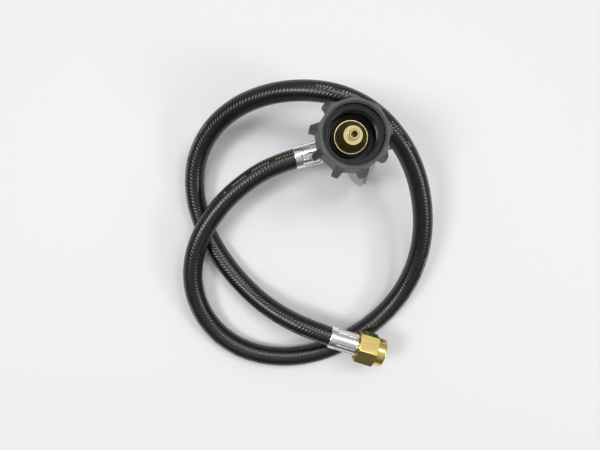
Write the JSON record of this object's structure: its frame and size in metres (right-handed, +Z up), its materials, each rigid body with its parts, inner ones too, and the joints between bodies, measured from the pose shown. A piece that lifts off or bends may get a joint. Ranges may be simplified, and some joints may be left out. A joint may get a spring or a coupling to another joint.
{
  "type": "propane regulator hose",
  "caption": "Low pressure propane regulator with a black winged hand nut, a flexible black hose with crimped ferrules, and a brass flare nut on a swivel stem.",
  "frame": {"origin": "on the surface that the part lies on, under the hand nut's axis and midway along the regulator from its outlet ferrule to its cap", "axes": "+Z up along the hand nut's axis and out of its mouth, +X from the outlet ferrule to the spring cover, along the axis of the round regulator body"},
  "size_m": [0.1823, 0.2058, 0.093],
  "materials": {
    "cast_body": "die cast, satin grey",
    "cast_cover": "die cast, satin grey",
    "screw_steel": "zinc plated",
    "diaphragm_rubber": "rubberised cloth",
    "plated_steel": "zinc plated",
    "aluminium_stem": "turned",
    "spring_steel": "drawn wire",
    "inner_plastic": "moulded",
    "cap_plastic": "moulded",
    "screen_steel": "woven wire",
    "black_rubber": "moulded",
    "brass": "turned",
    "nipple_brass": "turned",
    "nut_plastic": "moulded, dark grey to black",
    "zinc_ferrule": "zinc plated, crimped",
    "hose_rubber": "satin, fine braid texture",
    "nut_brass": "turned from hexagon bar"
  },
  "bodies": {
    "regulator": {"regulator_body": "cast_body", "bonnet": "cast_cover", "cover_screws": "screw_steel", "diaphragm": "diaphragm_rubber", "main_spring": "spring_steel", "adjusting_screw": "inner_plastic", "closing_cap": "cap_plastic", "vent_screen": "screen_steel", "lever_pin": "spring_steel", "orifice": "brass", "inlet_nipple": "nipple_brass", "nipple_seal": "black_rubber", "excess_flow_spring": "spring_steel", "excess_flow_seat": "brass", "outlet_stem": "brass", "regulator_ferrule": "zinc_ferrule", "hose": "hose_rubber", "end_ferrule": "zinc_ferrule", "flare_stem": "brass"},
    "bushing": {"thermal_bushing": "inner_plastic"},
    "hand_nut": {"coupling_nut": "nut_plastic"},
    "diaphragm_group": {"diaphragm_stem": "aluminium_stem", "diaphragm_plate": "plated_steel"},
    "lever_arm": {"lever": "plated_steel"},
    "valve": {"valve_holder": "brass", "valve_pad": "black_rubber"},
    "poppet": {"excess_flow_poppet": "brass"},
    "end_nut": {"flare_nut": "nut_brass"}
  },
  "joints": [
    {"name": "bushing_slide", "type": "slide", "parent": "regulator", "child": "bushing", "axis": [0, 0, 1], "range_m": [0, 0.0024]},
    {"name": "hand_nut_turn", "type": "hinge", "parent": "bushing", "child": "hand_nut", "pos_m": [0, 0, 0.0687], "axis": [0, 0, 1], "continuous": true},
    {"name": "end_nut_turn", "type": "hinge", "parent": "regulator", "child": "end_nut", "pos_m": [-0.01863, -0.13985, 0.026], "axis": [0.848, -0.5299, 0], "continuous": true},
    {"name": "diaphragm_slide", "type": "slide", "parent": "regulator", "child": "diaphragm_group", "axis": [1, 0, 0], "range_m": [0, 0.0027], "stiffness_N_per_m": 600, "springref_m": -0.0055, "deforming": ["diaphragm", "main_spring"]},
    {"name": "lever_pivot", "type": "hinge", "parent": "regulator", "child": "lever_arm", "pos_m": [-0.004, 0, 0.0425], "axis": [0, 1, 0], "range_deg": [-12.4, 0]},
    {"name": "valve_slide", "type": "slide", "parent": "regulator", "child": "valve", "axis": [0, 0, 1], "range_m": [0, 0.00087]},
    {"name": "poppet_slide", "type": "slide", "parent": "regulator", "child": "poppet", "axis": [0, 0, -1], "range_m": [0, 0.002], "stiffness_N_per_m": 30, "springref_m": -0.004, "deforming": ["excess_flow_spring"]}
  ],
  "couplings": [
    {"joint": "lever_pivot", "follows": "diaphragm_slide", "rad_per_m": -80},
    {"joint": "valve_slide", "follows": "diaphragm_slide", "ratio": 0.32}
  ]
}
